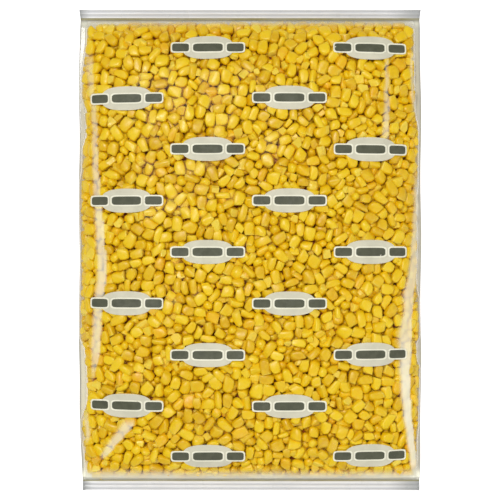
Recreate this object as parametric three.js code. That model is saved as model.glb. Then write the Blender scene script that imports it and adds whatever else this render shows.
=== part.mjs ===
// Clear pillow bag full of frozen sweet corn, lying on its back.
// Millimetres. X runs across the bag, Y along it towards the top seal and Z up.
// The origin is under the middle of the bag, on the surface that it lies on.
//
// The bag is one tube of film, closed by a crimped heat seal at each end, and a tube that
// was stored flat keeps a creased lip along each side. Film and corn are one solid here:
// a box whose grid of points is moved onto the upper and the lower film.

import * as THREE from "three";
import { mergeVertices } from "three/addons/utils/BufferGeometryUtils.js";

// Driving dimensions.
const BAG_WIDTH = 270; // across the top seal's outer edge
const BAG_LENGTH = 380; // over both seals
const FILLED_HEIGHT = 51.5; // top of the corn above the surface below, before its lumps
const SEAL_DEPTH = 8; // each end seal, along Y
const SEAL_RIBS = 3; // crimped ribs in each seal, running along X
const RIB_HEIGHT = 0.5; // half the rise from a rib's valley to its crest
const FILM_EDGE = 0.9; // thickness of two layers of film pressed together
const SEAL_LIFT = 12; // the seals' height above the surface
const CREASE_LIFT = 17; // the side creases' height at mid length
const LIP_WIDTH = 2; // empty film outside the corn, along each side

// Outline: how far each edge stands in from half of BAG_WIDTH.
const SEAL_FLARE = 1.1; // each side of the top seal narrows by this much towards the corn
const SIDE_BULGE = 0.7; // the filled body is this much wider than the seals' inner edges
const SIDE_WAVE = 0.4; // slow waves in the side creases
const SIDE_WAVE_LENGTH = 96;
const CORNER_TUCK = 1.7; // the bottom left corner is pulled in by this much
const CORNER_TUCK_START = 0.6; // where that begins and ends, in shares of half the length
const CORNER_TUCK_END = 0.9;

// Section: superellipse powers of the filled body, across and along.
const ACROSS_POWER = 3.2;
const ALONG_POWER = 5;
const ROUNDING = 0.52;
const UNDERSIDE_SPREAD = 1.7; // above 1, the underside is flat over that much more
const UNEVEN_SPREAD = 2; // the lumps have their full height where the body is half as high

// Unevenness of the corn under the film.
const LUMPS = [
  // [height, wavelength, turn of the pattern in radians, phase]
  [0.8, 96, 0.3, 0.4],
  [0.7, 71, 1.1, 2.1],
  [0.55, 53, 2.2, 4.4],
  [0.4, 43, 0.7, 5.3],
];
const GATHER_HEIGHT = 1.1; // small folds in the film where it leaves a seal
const GATHER_PITCH = 27;
const GATHER_DRIFT = 195; // over this length along the seal the folds fade out and back twice
const GATHER_REACH = 16; // distance from the seal at which they are highest

// Grid of the solid.
const COLUMNS = 36;
const ROWS_PER_RIB = 4;
const BODY_ROWS = 38;
const SEAL_ROWS = SEAL_RIBS * ROWS_PER_RIB;
const ROWS = BODY_ROWS + 2 * SEAL_ROWS;
const END_CROWDING = 0.42; // above 0, the body's rows lie closer together near the seals

const HALF_LENGTH = BAG_LENGTH / 2;
const BODY_HALF_LENGTH = HALF_LENGTH - SEAL_DEPTH;
const CORN_COLOUR = 0xe8c034;

// Y of a row of the grid, from 0 at the bottom edge to ROWS at the top edge.
function rowPlace(row) {
  const middle = ROWS / 2;
  const side = Math.sign(row - middle);
  const fromMiddle = Math.abs(row - middle);
  const bodyHalf = BODY_ROWS / 2;
  if (fromMiddle > bodyHalf) {
    const share = (fromMiddle - bodyHalf) / SEAL_ROWS;
    return side * (BODY_HALF_LENGTH + share * SEAL_DEPTH);
  }
  const v = fromMiddle / bodyHalf;
  const crowded = Math.sin((v * Math.PI) / 2);
  return side * BODY_HALF_LENGTH * THREE.MathUtils.lerp(v, crowded, END_CROWDING);
}

// X of the bag's edge at y, on the side given as -1 or 1.
function edgePlace(y, side) {
  const flare = SEAL_FLARE * (1 - THREE.MathUtils.smoothstep(y, BODY_HALF_LENGTH, HALF_LENGTH));
  const wave = SIDE_WAVE * Math.sin((2 * Math.PI * y) / SIDE_WAVE_LENGTH + side);
  const bulge = (SIDE_BULGE + wave) * fullness(y);
  const towardsBottom = -y / HALF_LENGTH;
  const tuck = THREE.MathUtils.smoothstep(towardsBottom, CORNER_TUCK_START, CORNER_TUCK_END);
  const halfWidth = BAG_WIDTH / 2 - flare + bulge - (side < 0 ? CORNER_TUCK * tuck : 0);
  return side * halfWidth;
}

// How full the bag is at y: 0 in the seals and 1 at mid length.
function fullness(y) {
  const s = Math.min(1, Math.abs(y) / BODY_HALF_LENGTH);
  return (1 - s ** ALONG_POWER) ** ROUNDING;
}

// How full the section is at x, inside the lips: 0 in a lip and 1 in the middle.
function roundness(x, y) {
  const inner = Math.abs(edgePlace(y, Math.sign(x) || 1)) - LIP_WIDTH;
  const t = Math.min(1, Math.abs(x) / inner);
  return (1 - t ** ACROSS_POWER) ** ROUNDING;
}

// Height that the uneven corn adds at (x, y): egg-box patterns of different sizes and turns.
function lumps(x, y) {
  const waves = LUMPS.map(([height, wavelength, turn, phase]) => {
    const turned = new THREE.Vector2(x, y).rotateAround(new THREE.Vector2(), turn);
    turned.multiplyScalar((2 * Math.PI) / wavelength);
    return height * Math.sin(turned.x + phase) * Math.cos(turned.y + 2 * phase);
  });
  return waves.reduce((sum, wave) => sum + wave, 0);
}

// Height of the small folds that the film gathers into beside a seal.
function gathers(x, y) {
  const fromSeal = Math.max(0, BODY_HALF_LENGTH - Math.abs(y));
  const reach = (fromSeal / GATHER_REACH) * Math.exp(1 - fromSeal / GATHER_REACH);
  const folds = Math.sin((2 * Math.PI * x) / GATHER_PITCH + Math.sign(y));
  return GATHER_HEIGHT * reach * folds * Math.cos((2 * Math.PI * x) / GATHER_DRIFT);
}

// The crimped seal's rise and fall at y, which both layers follow.
function ribs(y) {
  const intoSeal = (Math.abs(y) - BODY_HALF_LENGTH) / SEAL_DEPTH;
  return intoSeal <= 0 ? 0 : RIB_HEIGHT * Math.sin(2 * Math.PI * SEAL_RIBS * intoSeal);
}

function creaseHeight(y) {
  return THREE.MathUtils.lerp(SEAL_LIFT, CREASE_LIFT, fullness(y)) + ribs(y);
}

function upperFilm(x, y) {
  const full = fullness(y) * roundness(x, y);
  const crease = creaseHeight(y);
  const uneven = (lumps(x, y) + gathers(x, y)) * Math.min(1, UNEVEN_SPREAD * full);
  return crease + FILM_EDGE / 2 + (FILLED_HEIGHT - crease - FILM_EDGE / 2) * full + uneven;
}

function lowerFilm(x, y) {
  const full = Math.min(1, UNDERSIDE_SPREAD * fullness(y) * roundness(x, y));
  return (creaseHeight(y) - FILM_EDGE / 2) * (1 - full);
}

// A box of 2 x 2 x 2, whose points run from -1 to 1, with the grid's columns and rows.
function bagGeometry() {
  const box = new THREE.BoxGeometry(2, 2, 2, COLUMNS, ROWS, 1);
  box.deleteAttribute("normal");
  box.deleteAttribute("uv");
  const bag = mergeVertices(box);
  const place = bag.getAttribute("position");
  for (let i = 0; i < place.count; i += 1) {
    const y = rowPlace(((place.getY(i) + 1) / 2) * ROWS);
    const across = Math.sin((place.getX(i) * Math.PI) / 2);
    const x = Math.abs(across) * edgePlace(y, Math.sign(across) || 1);
    const z = place.getZ(i) > 0 ? upperFilm(x, y) : lowerFilm(x, y);
    place.setXYZ(i, x, y, z);
  }
  bag.computeBoundingBox();
  const middle = bag.boundingBox.getCenter(new THREE.Vector3());
  bag.translate(-middle.x, -middle.y, 0);
  bag.computeVertexNormals();
  return bag;
}

function cornBag() {
  const material = new THREE.MeshStandardMaterial({
    color: CORN_COLOUR,
    roughness: 0.35,
    metalness: 0,
  });
  const bag = new THREE.Mesh(bagGeometry(), material);
  bag.name = "corn_bag";
  return bag;
}

const pack = new THREE.Group();
pack.add(cornBag());

export default pack;
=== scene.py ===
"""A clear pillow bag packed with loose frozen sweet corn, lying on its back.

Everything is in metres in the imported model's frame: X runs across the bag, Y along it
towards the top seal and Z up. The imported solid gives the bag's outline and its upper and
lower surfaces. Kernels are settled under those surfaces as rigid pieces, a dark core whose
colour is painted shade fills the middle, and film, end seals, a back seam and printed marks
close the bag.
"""

import logging
import math
from collections.abc import Callable
from dataclasses import dataclass, field
from enum import Enum

import bmesh
import bpy
import numpy as np
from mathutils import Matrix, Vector
from mathutils.bvhtree import BVHTree


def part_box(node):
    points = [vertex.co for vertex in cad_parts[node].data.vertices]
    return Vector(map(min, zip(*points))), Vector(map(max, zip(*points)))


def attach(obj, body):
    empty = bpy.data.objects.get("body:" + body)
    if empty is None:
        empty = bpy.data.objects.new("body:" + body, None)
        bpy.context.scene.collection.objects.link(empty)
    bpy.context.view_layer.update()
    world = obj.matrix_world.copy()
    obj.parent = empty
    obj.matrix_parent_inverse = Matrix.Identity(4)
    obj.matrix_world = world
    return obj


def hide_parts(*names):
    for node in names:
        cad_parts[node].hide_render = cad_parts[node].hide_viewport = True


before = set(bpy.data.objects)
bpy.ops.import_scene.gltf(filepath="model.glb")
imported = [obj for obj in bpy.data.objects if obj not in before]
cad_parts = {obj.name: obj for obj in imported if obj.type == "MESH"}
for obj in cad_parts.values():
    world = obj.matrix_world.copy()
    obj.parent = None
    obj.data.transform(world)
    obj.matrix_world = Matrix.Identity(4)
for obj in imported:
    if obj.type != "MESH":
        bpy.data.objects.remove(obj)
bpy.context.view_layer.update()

LOG = logging.getLogger("corn_bag")
MM = 0.001
NODE = "corn_bag"
BODY = "root"
UV_MAP = "OFBake"
SEAL_DEPTH = 8 * MM
SEAL_RIBS = 2.5
SPREAD_ROOT = 1.2207440846  # the root of x ** 4 = x + 1, whose powers spread points evenly

Number = float | np.ndarray
Verts = list[bmesh.types.BMVert]


# ---------------------------------------------------------------- small helpers


def smoothstep(value: np.ndarray, start: Number, stop: Number) -> np.ndarray:
    """Rises smoothly from 0 at start to 1 at stop."""
    t = np.clip((value - start) / (stop - start), 0.0, 1.0)
    return t * t * (3.0 - 2.0 * t)


def unit(vectors: np.ndarray) -> np.ndarray:
    """The same vectors, each one long."""
    return vectors / np.maximum(np.linalg.norm(vectors, axis=-1, keepdims=True), 1e-12)


def link(name: str, data: bpy.types.ID) -> bpy.types.Object:
    """Makes an object at the origin from a mesh, a lamp or a camera.

    Args:
        name: The object's name.
        data: What it holds.

    Returns:
        The new object, linked into the scene.
    """
    made = bpy.data.objects.new(name, data)
    bpy.context.scene.collection.objects.link(made)
    return made


def object_from(name: str, bm: bmesh.types.BMesh, smooth: bool = True) -> bpy.types.Object:
    """Turns a bmesh into a linked object at the origin.

    Args:
        name: The piece's name.
        bm: The finished shape, which is freed here.
        smooth: Whether its faces are shaded smooth.

    Returns:
        The new object.
    """
    mesh = bpy.data.meshes.new(name)
    for face in bm.faces:
        face.smooth = smooth
    bm.to_mesh(mesh)
    bm.free()
    return link(name, mesh)


def add_grid(bm: bmesh.types.BMesh, columns: int, rows: int) -> tuple[Verts, np.ndarray, np.ndarray]:
    """Adds a flat grid whose points run from -1 to 1 along X and along Y.

    Args:
        bm: The shape so far.
        columns: Number of faces along X.
        rows: Number of faces along Y.

    Returns:
        The grid's vertices, their X and their Y.
    """
    verts = bmesh.ops.create_grid(bm, x_segments=columns, y_segments=rows, size=1.0)["verts"]
    across, along = np.array([vertex.co[:2] for vertex in verts]).T
    return verts, across, along


def put(verts: Verts, x: np.ndarray, y: np.ndarray, z: np.ndarray) -> None:
    """Moves vertices to these places."""
    for vertex, place in zip(verts, np.stack([x, y, z], axis=1)):
        vertex.co = place


def turn_over(bm: bmesh.types.BMesh, verts: Verts) -> None:
    """Makes the faces of one sheet of a shape point the other way."""
    bmesh.ops.reverse_faces(bm, faces=list({face for vertex in verts for face in vertex.link_faces}))


def thicken(bm: bmesh.types.BMesh, wall: float) -> None:
    """Gives a sheet a wall, with its faces outward.

    Args:
        bm: The sheet, which is changed.
        wall: The wall's thickness.
    """
    bmesh.ops.recalc_face_normals(bm, faces=bm.faces)
    bmesh.ops.solidify(bm, geom=bm.faces[:], thickness=wall)
    bmesh.ops.recalc_face_normals(bm, faces=bm.faces)


def points_of(mesh: bpy.types.Mesh) -> np.ndarray:
    """Reads where a mesh's vertices are.

    Args:
        mesh: The mesh.

    Returns:
        One row for each vertex.
    """
    found = np.empty(len(mesh.vertices) * 3)
    mesh.vertices.foreach_get("co", found)
    return found.reshape(-1, 3)


def add_values(mesh: bpy.types.Mesh, name: str, values: np.ndarray) -> None:
    """Stores one number for each vertex, which a material reads by name."""
    attribute = mesh.attributes.new(name, "FLOAT", "POINT")
    attribute.data.foreach_set("value", np.ascontiguousarray(values, np.float32).ravel())


def wear(piece: bpy.types.Object, material: bpy.types.Material) -> None:
    """Dresses a finished piece and says what it rides on.

    Args:
        piece: The piece.
        material: Its material.
    """
    piece.data.materials.append(material)
    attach(piece, BODY)
    LOG.info("%s: %d vertices, %d faces", piece.name, len(piece.data.vertices), len(piece.data.polygons))


# ---------------------------------------------------------------- the bag's form


@dataclass
class BagForm:
    """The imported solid's outline and its upper and lower surfaces, as grids of heights.

    Each lip is a list of places along Y with the empty film's width there, in millimetres.
    """

    cell: float = 1.5 * MM
    margin: float = 12.0 * MM
    ray_reach: float = 1.0
    side_fill: float = 1.4 * MM
    left_lip: tuple[tuple[float, float], ...] = (
        (-190, 3.5), (-160, 2.5), (-150, 1.0), (-134, 1.0), (-120, 6.0), (-98, 6.0),
        (-76, 4.0), (-70, 0.8), (54, 0.8), (62, 2.0), (80, 2.2), (90, 5.2),
        (112, 5.5), (118, 2.4), (140, 2.6), (162, 5.4), (190, 5.5),
    )
    right_lip: tuple[tuple[float, float], ...] = (
        (-190, 3.2), (-150, 2.8), (-140, 1.5), (-92, 1.2), (-86, 3.8), (-74, 3.8), (-68, 0.9),
        (-38, 0.9), (-28, 3.4), (42, 3.6), (50, 2.0), (96, 2.2), (108, 5.0), (190, 5.0),
    )
    low: Vector = field(init=False)
    high: Vector = field(init=False)

    def __post_init__(self) -> None:
        """Reads the outline from the solid's rows of points and its heights by rays."""
        self.low, self.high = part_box(NODE)
        self.read_outline(points_of(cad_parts[NODE].data))
        self.xs = np.arange(self.low.x - self.margin, self.high.x + self.margin, self.cell)
        self.ys = np.arange(self.low.y - self.margin, self.high.y + self.margin, self.cell)
        self.read_heights()

    def read_outline(self, places: np.ndarray) -> None:
        """Finds the left edge, the right edge and the crease's height on each row.

        Args:
            places: The solid's points, which lie in rows across the bag.
        """
        keys = np.round(places[:, 1] / MM, 1)
        rows = [places[keys == key] for key in np.unique(keys)]
        self.row_y = np.array([row[:, 1].mean() for row in rows])
        self.row_left = np.array([row[:, 0].min() for row in rows])
        self.row_right = np.array([row[:, 0].max() for row in rows])
        at_edge = [row[row[:, 0] > row[:, 0].max() - 0.01 * MM] for row in rows]
        self.row_crease = np.array([(edge[:, 2].min() + edge[:, 2].max()) / 2 for edge in at_edge])

    def read_heights(self) -> None:
        """Casts a ray down and a ray up at each point of the grid."""
        tree = BVHTree.FromObject(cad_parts[NODE], bpy.context.evaluated_depsgraph_get())
        shape = (len(self.ys), len(self.xs))
        self.upper, self.lower = np.empty(shape), np.empty(shape)
        above, below = self.high.z + self.ray_reach, self.low.z - self.ray_reach
        fuller = 1 - self.side_fill / self.high.x
        for j, y in enumerate(self.ys):
            crease = float(self.crease(y))
            for i, x in enumerate(self.xs * fuller):
                hit = tree.ray_cast((x, y, above), (0, 0, -1))[0]
                self.upper[j, i] = hit.z if hit else crease
                hit = tree.ray_cast((x, y, below), (0, 0, 1))[0]
                self.lower[j, i] = hit.z if hit else crease

    def left(self, y: np.ndarray) -> np.ndarray:
        """X of the left edge at y."""
        return np.interp(y, self.row_y, self.row_left)

    def right(self, y: np.ndarray) -> np.ndarray:
        """X of the right edge at y."""
        return np.interp(y, self.row_y, self.row_right)

    def crease(self, y: np.ndarray) -> np.ndarray:
        """Height of the side creases and of the seals at y."""
        return np.interp(y, self.row_y, self.row_crease)

    @property
    def mouth(self) -> float:
        """Distance along Y from the middle to where the seals begin."""
        return self.high.y - SEAL_DEPTH

    def edge_distance(self, x: np.ndarray, y: np.ndarray) -> np.ndarray:
        """Distance from the nearer side edge, above 0 inside the bag."""
        return np.minimum(x - self.left(y), self.right(y) - x)

    def lip(self, x: np.ndarray, y: np.ndarray) -> np.ndarray:
        """Width of the empty film along the side that is nearer to x, at y."""
        left, right = (np.interp(y, *np.array(lip).T * MM) for lip in (self.left_lip, self.right_lip))
        return np.where(x < 0, left, right)

    def sample(self, grid: np.ndarray, x: np.ndarray, y: np.ndarray) -> np.ndarray:
        """Reads a grid between its points.

        Args:
            grid: Values at self.ys by self.xs, with any further axes.
            x: X of each place.
            y: Y of each place.

        Returns:
            The grid's value at each place.
        """
        u = np.clip((x - self.xs[0]) / self.cell, 0, len(self.xs) - 1.001)
        v = np.clip((y - self.ys[0]) / self.cell, 0, len(self.ys) - 1.001)
        i, j = u.astype(int), v.astype(int)
        fu, fv = u - i, v - j
        if grid.ndim > 2:
            fu, fv = fu[..., None], fv[..., None]
        near = grid[j, i] * (1 - fu) + grid[j, i + 1] * fu
        far = grid[j + 1, i] * (1 - fu) + grid[j + 1, i + 1] * fu
        return near * (1 - fv) + far * fv


# ---------------------------------------------------------------- kernels


@dataclass(frozen=True)
class KernelShape:
    """One kind of kernel: its crown points along +X and its cut end along -X."""

    length: float
    width: float
    thickness: float
    share: float
    taper: float
    crown_power: float
    edge_power: float
    dimple: float = 0.0


class KernelKind(Enum):
    """The kinds of kernel in the bag, each one piece of the model."""

    PLUMP = KernelShape(11.6 * MM, 9.9 * MM, 7.2 * MM, 0.34, 0.80, 2.1, 3.0, 0.10)
    WEDGE = KernelShape(12.6 * MM, 10.3 * MM, 6.6 * MM, 0.30, 0.50, 2.0, 3.2, 0.06)
    ROUND = KernelShape(10.3 * MM, 9.7 * MM, 7.6 * MM, 0.17, 0.90, 2.1, 2.6, 0.08)
    SLIM = KernelShape(12.0 * MM, 7.3 * MM, 6.0 * MM, 0.14, 0.78, 2.1, 3.0, 0.0)
    CHIP = KernelShape(8.4 * MM, 7.0 * MM, 5.2 * MM, 0.05, 0.70, 2.3, 3.4, 0.0)

    @property
    def piece_name(self) -> str:
        """Name of the piece that holds all kernels of this kind."""
        return f"{self.name.lower()}_kernels"


@dataclass
class KernelMould:
    """Unit kernels of one kind, each a little different, as arrays that are then repeated."""

    kind: KernelKind
    seed: int
    variants: int = 8
    crowding: float = 0.8
    cut_power: float = 8.0
    cut_face: float = 0.9
    crown_start: float = 0.62
    facets: int = 4
    facet_reach: tuple[float, float] = (0.74, 0.94)
    taper_spread: tuple[float, float] = (-0.12, 0.08)
    most_bend: float = 0.14
    bend_middle: float = 0.4
    most_skew: float = 0.16
    most_slant: float = 0.22
    dimple_spread: tuple[float, float] = (0.2, 1.6)
    facet_lean: tuple[float, float, float] = (0.45, 1.0, 1.0)
    lump_height: float = 0.05
    lump_waves: tuple[float, float] = (2.6, 2.2)
    sag_height: float = 0.10
    sag_waves: tuple[float, float] = (1.6, 1.7)
    dimple_width: float = 0.2
    thinning: float = 0.28
    places: np.ndarray = field(init=False)
    faces: np.ndarray = field(init=False)

    def __post_init__(self) -> None:
        """Builds every variant and keeps the faces, which all of them share."""
        rng = np.random.default_rng(self.seed)
        made = [self.shaped(rng) for _ in range(self.variants)]
        self.places = np.array([places for places, _ in made])
        self.faces = made[0][1]
        block = self.block()
        self.cube = np.array([vertex.co[:] for vertex in block.verts])
        block.free()
        self.flat = np.all(self.cube[self.faces][:, :, 0] < -0.999, axis=1)

    @staticmethod
    def block() -> bmesh.types.BMesh:
        """A cube from -1 to 1, cut into four along X and Y and into two along Z.

        Returns:
            The cube.
        """
        bm = bmesh.new()
        bmesh.ops.create_cube(bm, size=2.0)
        upright = [e for e in bm.edges if abs(e.verts[0].co.z - e.verts[1].co.z) > 1.0]
        level = [e for e in bm.edges if e not in upright]
        bmesh.ops.subdivide_edges(bm, edges=level, cuts=3, use_grid_fill=True)
        upright = [e for e in bm.edges if abs(e.verts[0].co.z - e.verts[1].co.z) > 1.0]
        bmesh.ops.subdivide_edges(bm, edges=upright, cuts=1, use_grid_fill=True)
        bm.verts.ensure_lookup_table()
        return bm

    def shaped(self, rng: np.random.Generator) -> tuple[np.ndarray, np.ndarray]:
        """Rounds, tapers, bends and dimples one block.

        Args:
            rng: Source of this variant's differences.

        Returns:
            Its vertices and its faces.
        """
        shape = self.kind.value
        bm = self.block()
        taper = shape.taper + rng.uniform(*self.taper_spread)
        bend, skew, slant = (
            rng.uniform(-most, most) for most in (self.most_bend, self.most_skew, self.most_slant)
        )
        dimple = shape.dimple * rng.uniform(*self.dimple_spread)
        phases = rng.uniform(0, 2 * math.pi, 4)
        sides = unit(rng.normal(size=(self.facets, 3)) * self.facet_lean)
        facets = [(Vector(side), rng.uniform(*self.facet_reach)) for side in sides]
        for vertex in bm.verts:
            x, y, z = self.rounded(*vertex.co)
            width = taper + (1 - taper) * (x + 1) / 2
            waves = np.multiply(self.lump_waves + self.sag_waves, (x, y, x, y)) + phases
            lump = self.lump_height * math.sin(waves[0]) * math.cos(waves[1])
            pit = dimple * math.exp(-(y * y + z * z) / self.dimple_width) * max(0.0, x)
            sag = self.sag_height * math.cos(waves[2]) * math.cos(waves[3])
            depth = 1 - self.thinning + self.thinning * width
            vertex.co.x = x - pit + slant * y * (1 - x) / 2
            vertex.co.y = y * width * (1 + lump) + skew * x * x
            vertex.co.z = z * depth * (1 + lump - sag) + bend * (x * x - self.bend_middle)
            for side, reach in facets:
                vertex.co -= side * max(0.0, vertex.co.dot(side) - reach)
        bmesh.ops.recalc_face_normals(bm, faces=bm.faces)
        places = np.array([vertex.co[:] for vertex in bm.verts])
        faces = np.array([[vertex.index for vertex in face.verts] for face in bm.faces])
        bm.free()
        return places, faces

    def rounded(self, x: float, y: float, z: float) -> tuple[float, float, float]:
        """Rounds the block's outline and then its upper and lower edges.

        Args:
            x: Place along the kernel, from the cut end at -1 to the crown at 1.
            y: Place across it.
            z: Place through it.

        Returns:
            The place on the rounded block, whose cut end is flat.
        """
        shape = self.kind.value
        x, y = (a * (1 + self.crowding - self.crowding * abs(a)) for a in (x, y))
        crown = min(1.0, self.crown_start * (x + 1))
        power = self.cut_power + (shape.crown_power - self.cut_power) * crown
        ring = max(abs(x), abs(y), 1e-9)
        outline = (abs(x) ** power + abs(y) ** power) ** (1 / power) / ring if ring > 1e-6 else 1.0
        power = self.cut_power + (shape.edge_power - self.cut_power) * crown
        edge = (ring**power + abs(z) ** power) ** (1 / power) / max(ring, abs(z))
        return max(x / outline / edge, -self.cut_face), y / outline / edge, z / edge

    def unfolded(self) -> np.ndarray:
        """Spreads the kernel's skin over one square.

        Returns:
            The place of each face's corners in that square, from 0 to 1.
        """
        corners = self.cube[self.faces]
        flattened = corners / np.abs(corners).sum(axis=2, keepdims=True)
        x, y = flattened[:, :, 0], flattened[:, :, 1]
        middle = corners.mean(axis=1)
        side_x = np.where(middle[:, 0] > 0, 1.0, -1.0)[:, None]
        side_y = np.where(middle[:, 1] > 0, 1.0, -1.0)[:, None]
        below = (middle[:, 2] < 0)[:, None]
        u = np.where(below, (1 - np.abs(y)) * side_x, x)
        v = np.where(below, (1 - np.abs(x)) * side_y, y)
        return (np.stack([u, v], axis=2) + 1) / 2


def close_pairs(points: np.ndarray, reach: float) -> tuple[np.ndarray, np.ndarray]:
    """Finds the pairs of points that lie within reach of each other.

    Args:
        points: One row for each point.
        reach: The most that the points of a pair may be apart.

    Returns:
        The first and the second point of each pair.
    """
    cell = np.floor(points / reach).astype(np.int64)
    cell -= cell.min(axis=0) - 1
    size = cell.max(axis=0) + 2
    key = (cell[:, 0] * size[1] + cell[:, 1]) * size[2] + cell[:, 2]
    order = np.argsort(key, kind="stable")
    ordered = key[order]
    steps = [(a, b, c) for a in (-1, 0, 1) for b in (-1, 0, 1) for c in (-1, 0, 1)]
    firsts, seconds = [], []
    for a, b, c in steps[len(steps) // 2 :]:
        other = key + (a * size[1] + b) * size[2] + c
        start = np.searchsorted(ordered, other, "left")
        count = np.searchsorted(ordered, other, "right") - start
        first = np.repeat(np.arange(len(points)), count)
        within = np.arange(len(first)) - np.repeat(np.cumsum(count) - count, count)
        second = order[np.repeat(start, count) + within]
        if (a, b, c) == (0, 0, 0):
            keep = first < second
            first, second = first[keep], second[keep]
        apart = points[first] - points[second]
        keep = np.einsum("ij,ij->i", apart, apart) < reach * reach
        firsts.append(first[keep])
        seconds.append(second[keep])
    return np.concatenate(firsts), np.concatenate(seconds)


@dataclass
class CornHeap:
    """Kernels settled as rigid pieces in a shell under the film.

    Each kernel is four overlapping balls. In each round the kernels are drawn towards the
    film, balls of different kernels are pushed apart, all are kept inside the film and
    outside the core, and each kernel takes the place and turn that fit its balls best.
    """

    form: BagForm
    moulds: list[KernelMould]
    seed: int = 7
    upper_shell: float = 13.0 * MM
    lower_shell: float = 8.0 * MM
    kernels_per_litre: float = 2600.0
    film_gap: float = 0.3 * MM
    deepest_sink: float = 2.4 * MM
    rounds: int = 170
    seating_rounds: int = 12
    pull: float = 0.07 * MM
    rim_pull: float = 0.09 * MM
    rim_reach: float = 14.0 * MM
    start_depth: float = 2.2 * MM
    pair_slack: float = 0.8 * MM
    pair_rounds: int = 5
    whole_spread: float = 0.06
    size_spread: float = 0.08
    size_limits: tuple[float, float] = (0.72, 1.26)
    eagerness_limits: tuple[float, float] = (0.2, 1.8)
    ball_share: float = 0.88
    length_share: float = 0.88
    width_share: float = 0.84
    leaning_from: float = 0.42
    standing_from: float = 0.86
    flat_tilt: float = 20.0
    leaning_tilt: tuple[float, float] = (25.0, 60.0)
    standing_tilt: tuple[float, float] = (65.0, 90.0)
    return_share: float = 0.5
    deepest_return: float = 1.0 * MM

    def __post_init__(self) -> None:
        """Scatters the kernels, gives them their kinds, sizes and turns, and settles them."""
        self.rng = np.random.default_rng(self.seed)
        gy, gx = np.gradient(self.form.upper, self.form.cell)
        hy, hx = np.gradient(self.form.lower, self.form.cell)
        self.walls = np.stack([self.form.upper, gx, gy, self.form.lower, hx, hy], axis=2)
        self.scatter()
        self.choose_sizes()
        self.choose_turns()
        self.settle()
        self.seat()

    def film_at(self, points: np.ndarray) -> tuple[np.ndarray, np.ndarray, np.ndarray, np.ndarray]:
        """Measures how far inside the film points lie.

        Args:
            points: The points, with X, Y and Z as the last axis.

        Returns:
            Depth below the upper film, depth above the lower film and both outward normals.
        """
        x, y, z = points[..., 0], points[..., 1], points[..., 2]
        upper, gx, gy, lower, hx, hy = np.moveaxis(self.form.sample(self.walls, x, y), -1, 0)
        up = unit(np.stack([-gx, -gy, np.ones_like(gx)], axis=-1))
        down = unit(np.stack([hx, hy, -np.ones_like(hx)], axis=-1))
        return (upper - z) * up[..., 2], (z - lower) * -down[..., 2], up, down

    def scatter(self) -> None:
        """Spreads starting places evenly through the shell."""
        low, high = np.array(self.form.low), np.array(self.form.high)
        litres = np.prod(high - low) * 1000
        steps = SPREAD_ROOT ** -np.arange(1.0, 4.0)
        shares = (0.5 + np.outer(np.arange(int(litres * self.kernels_per_litre)), steps)) % 1.0
        places = low + shares * (high - low)
        under, over, _, _ = self.film_at(places)
        beside = self.form.edge_distance(places[:, 0], places[:, 1])
        inside = np.minimum(np.minimum(under, over), beside) > self.start_depth
        inside &= (under < self.upper_shell) | (over < self.lower_shell)
        self.centre = places[inside]

    def choose_sizes(self) -> None:
        """Deals out the kinds and gives each kernel a size of its own."""
        count = len(self.centre)
        kinds = list(KernelKind)
        shares = np.array([kind.value.share for kind in kinds])
        self.kind = self.rng.choice(len(kinds), count, p=shares / shares.sum())
        sizes = np.array([(k.value.length, k.value.width, k.value.thickness) for k in kinds])
        spread = self.rng.normal(1.0, self.size_spread, (count, 3))
        spread *= self.rng.normal(1.0, self.whole_spread, (count, 1))
        self.half = sizes[self.kind] / 2 * np.clip(spread, *self.size_limits)
        self.variant = self.rng.integers(0, self.moulds[0].variants, count)
        taper = np.array([kind.value.taper for kind in kinds])[self.kind]
        self.radius = self.half[:, 2] * self.ball_share
        along = (self.half[:, 0] - self.radius) * self.length_share
        across = np.maximum(self.half[:, 1] - self.radius, 0.0) * self.width_share
        self.eagerness = self.rng.uniform(*self.eagerness_limits, count)
        self.gap = self.film_gap + self.deepest_sink * self.rng.random(count) ** 2
        narrow = across * taper
        nothing = np.zeros(count)
        corners = [(along, across), (along, -across), (-along, narrow), (-along, -narrow)]
        self.rest = np.stack([np.stack([a, b, nothing], axis=1) for a, b in corners], axis=1)

    def choose_turns(self) -> None:
        """Lays most kernels flat to the film, leans some and stands some on edge."""
        count = len(self.centre)
        under, over, up, down = self.film_at(self.centre)
        out = np.where((under < over)[:, None], up, down)
        level = np.array([0.0, 0.0, 1.0]) * np.sign(out[:, 2:])
        at_rim = self.form.edge_distance(self.centre[:, 0], self.centre[:, 1]) < self.rim_reach
        out = np.where(at_rim[:, None], level, out)
        pose = self.rng.random(count)
        tilt = np.abs(self.rng.normal(0, math.radians(self.flat_tilt), count))
        leaning = self.rng.uniform(*map(math.radians, self.leaning_tilt), count)
        standing = self.rng.uniform(*map(math.radians, self.standing_tilt), count)
        tilt = np.where(pose > self.leaning_from, leaning, tilt)
        tilt = np.where(pose > self.standing_from, standing, tilt)
        sideways = unit(np.cross(out, self.rng.normal(size=(count, 3))))
        face = out * np.cos(tilt)[:, None] + sideways * np.sin(tilt)[:, None]
        along = unit(np.cross(face, self.rng.normal(size=(count, 3))))
        self.turn = np.stack([along, np.cross(face, along), face], axis=2)

    def balls(self) -> np.ndarray:
        """Where each kernel's balls are, from its place and turn."""
        return self.centre[:, None] + np.einsum("nij,nkj->nki", self.turn, self.rest)

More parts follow.
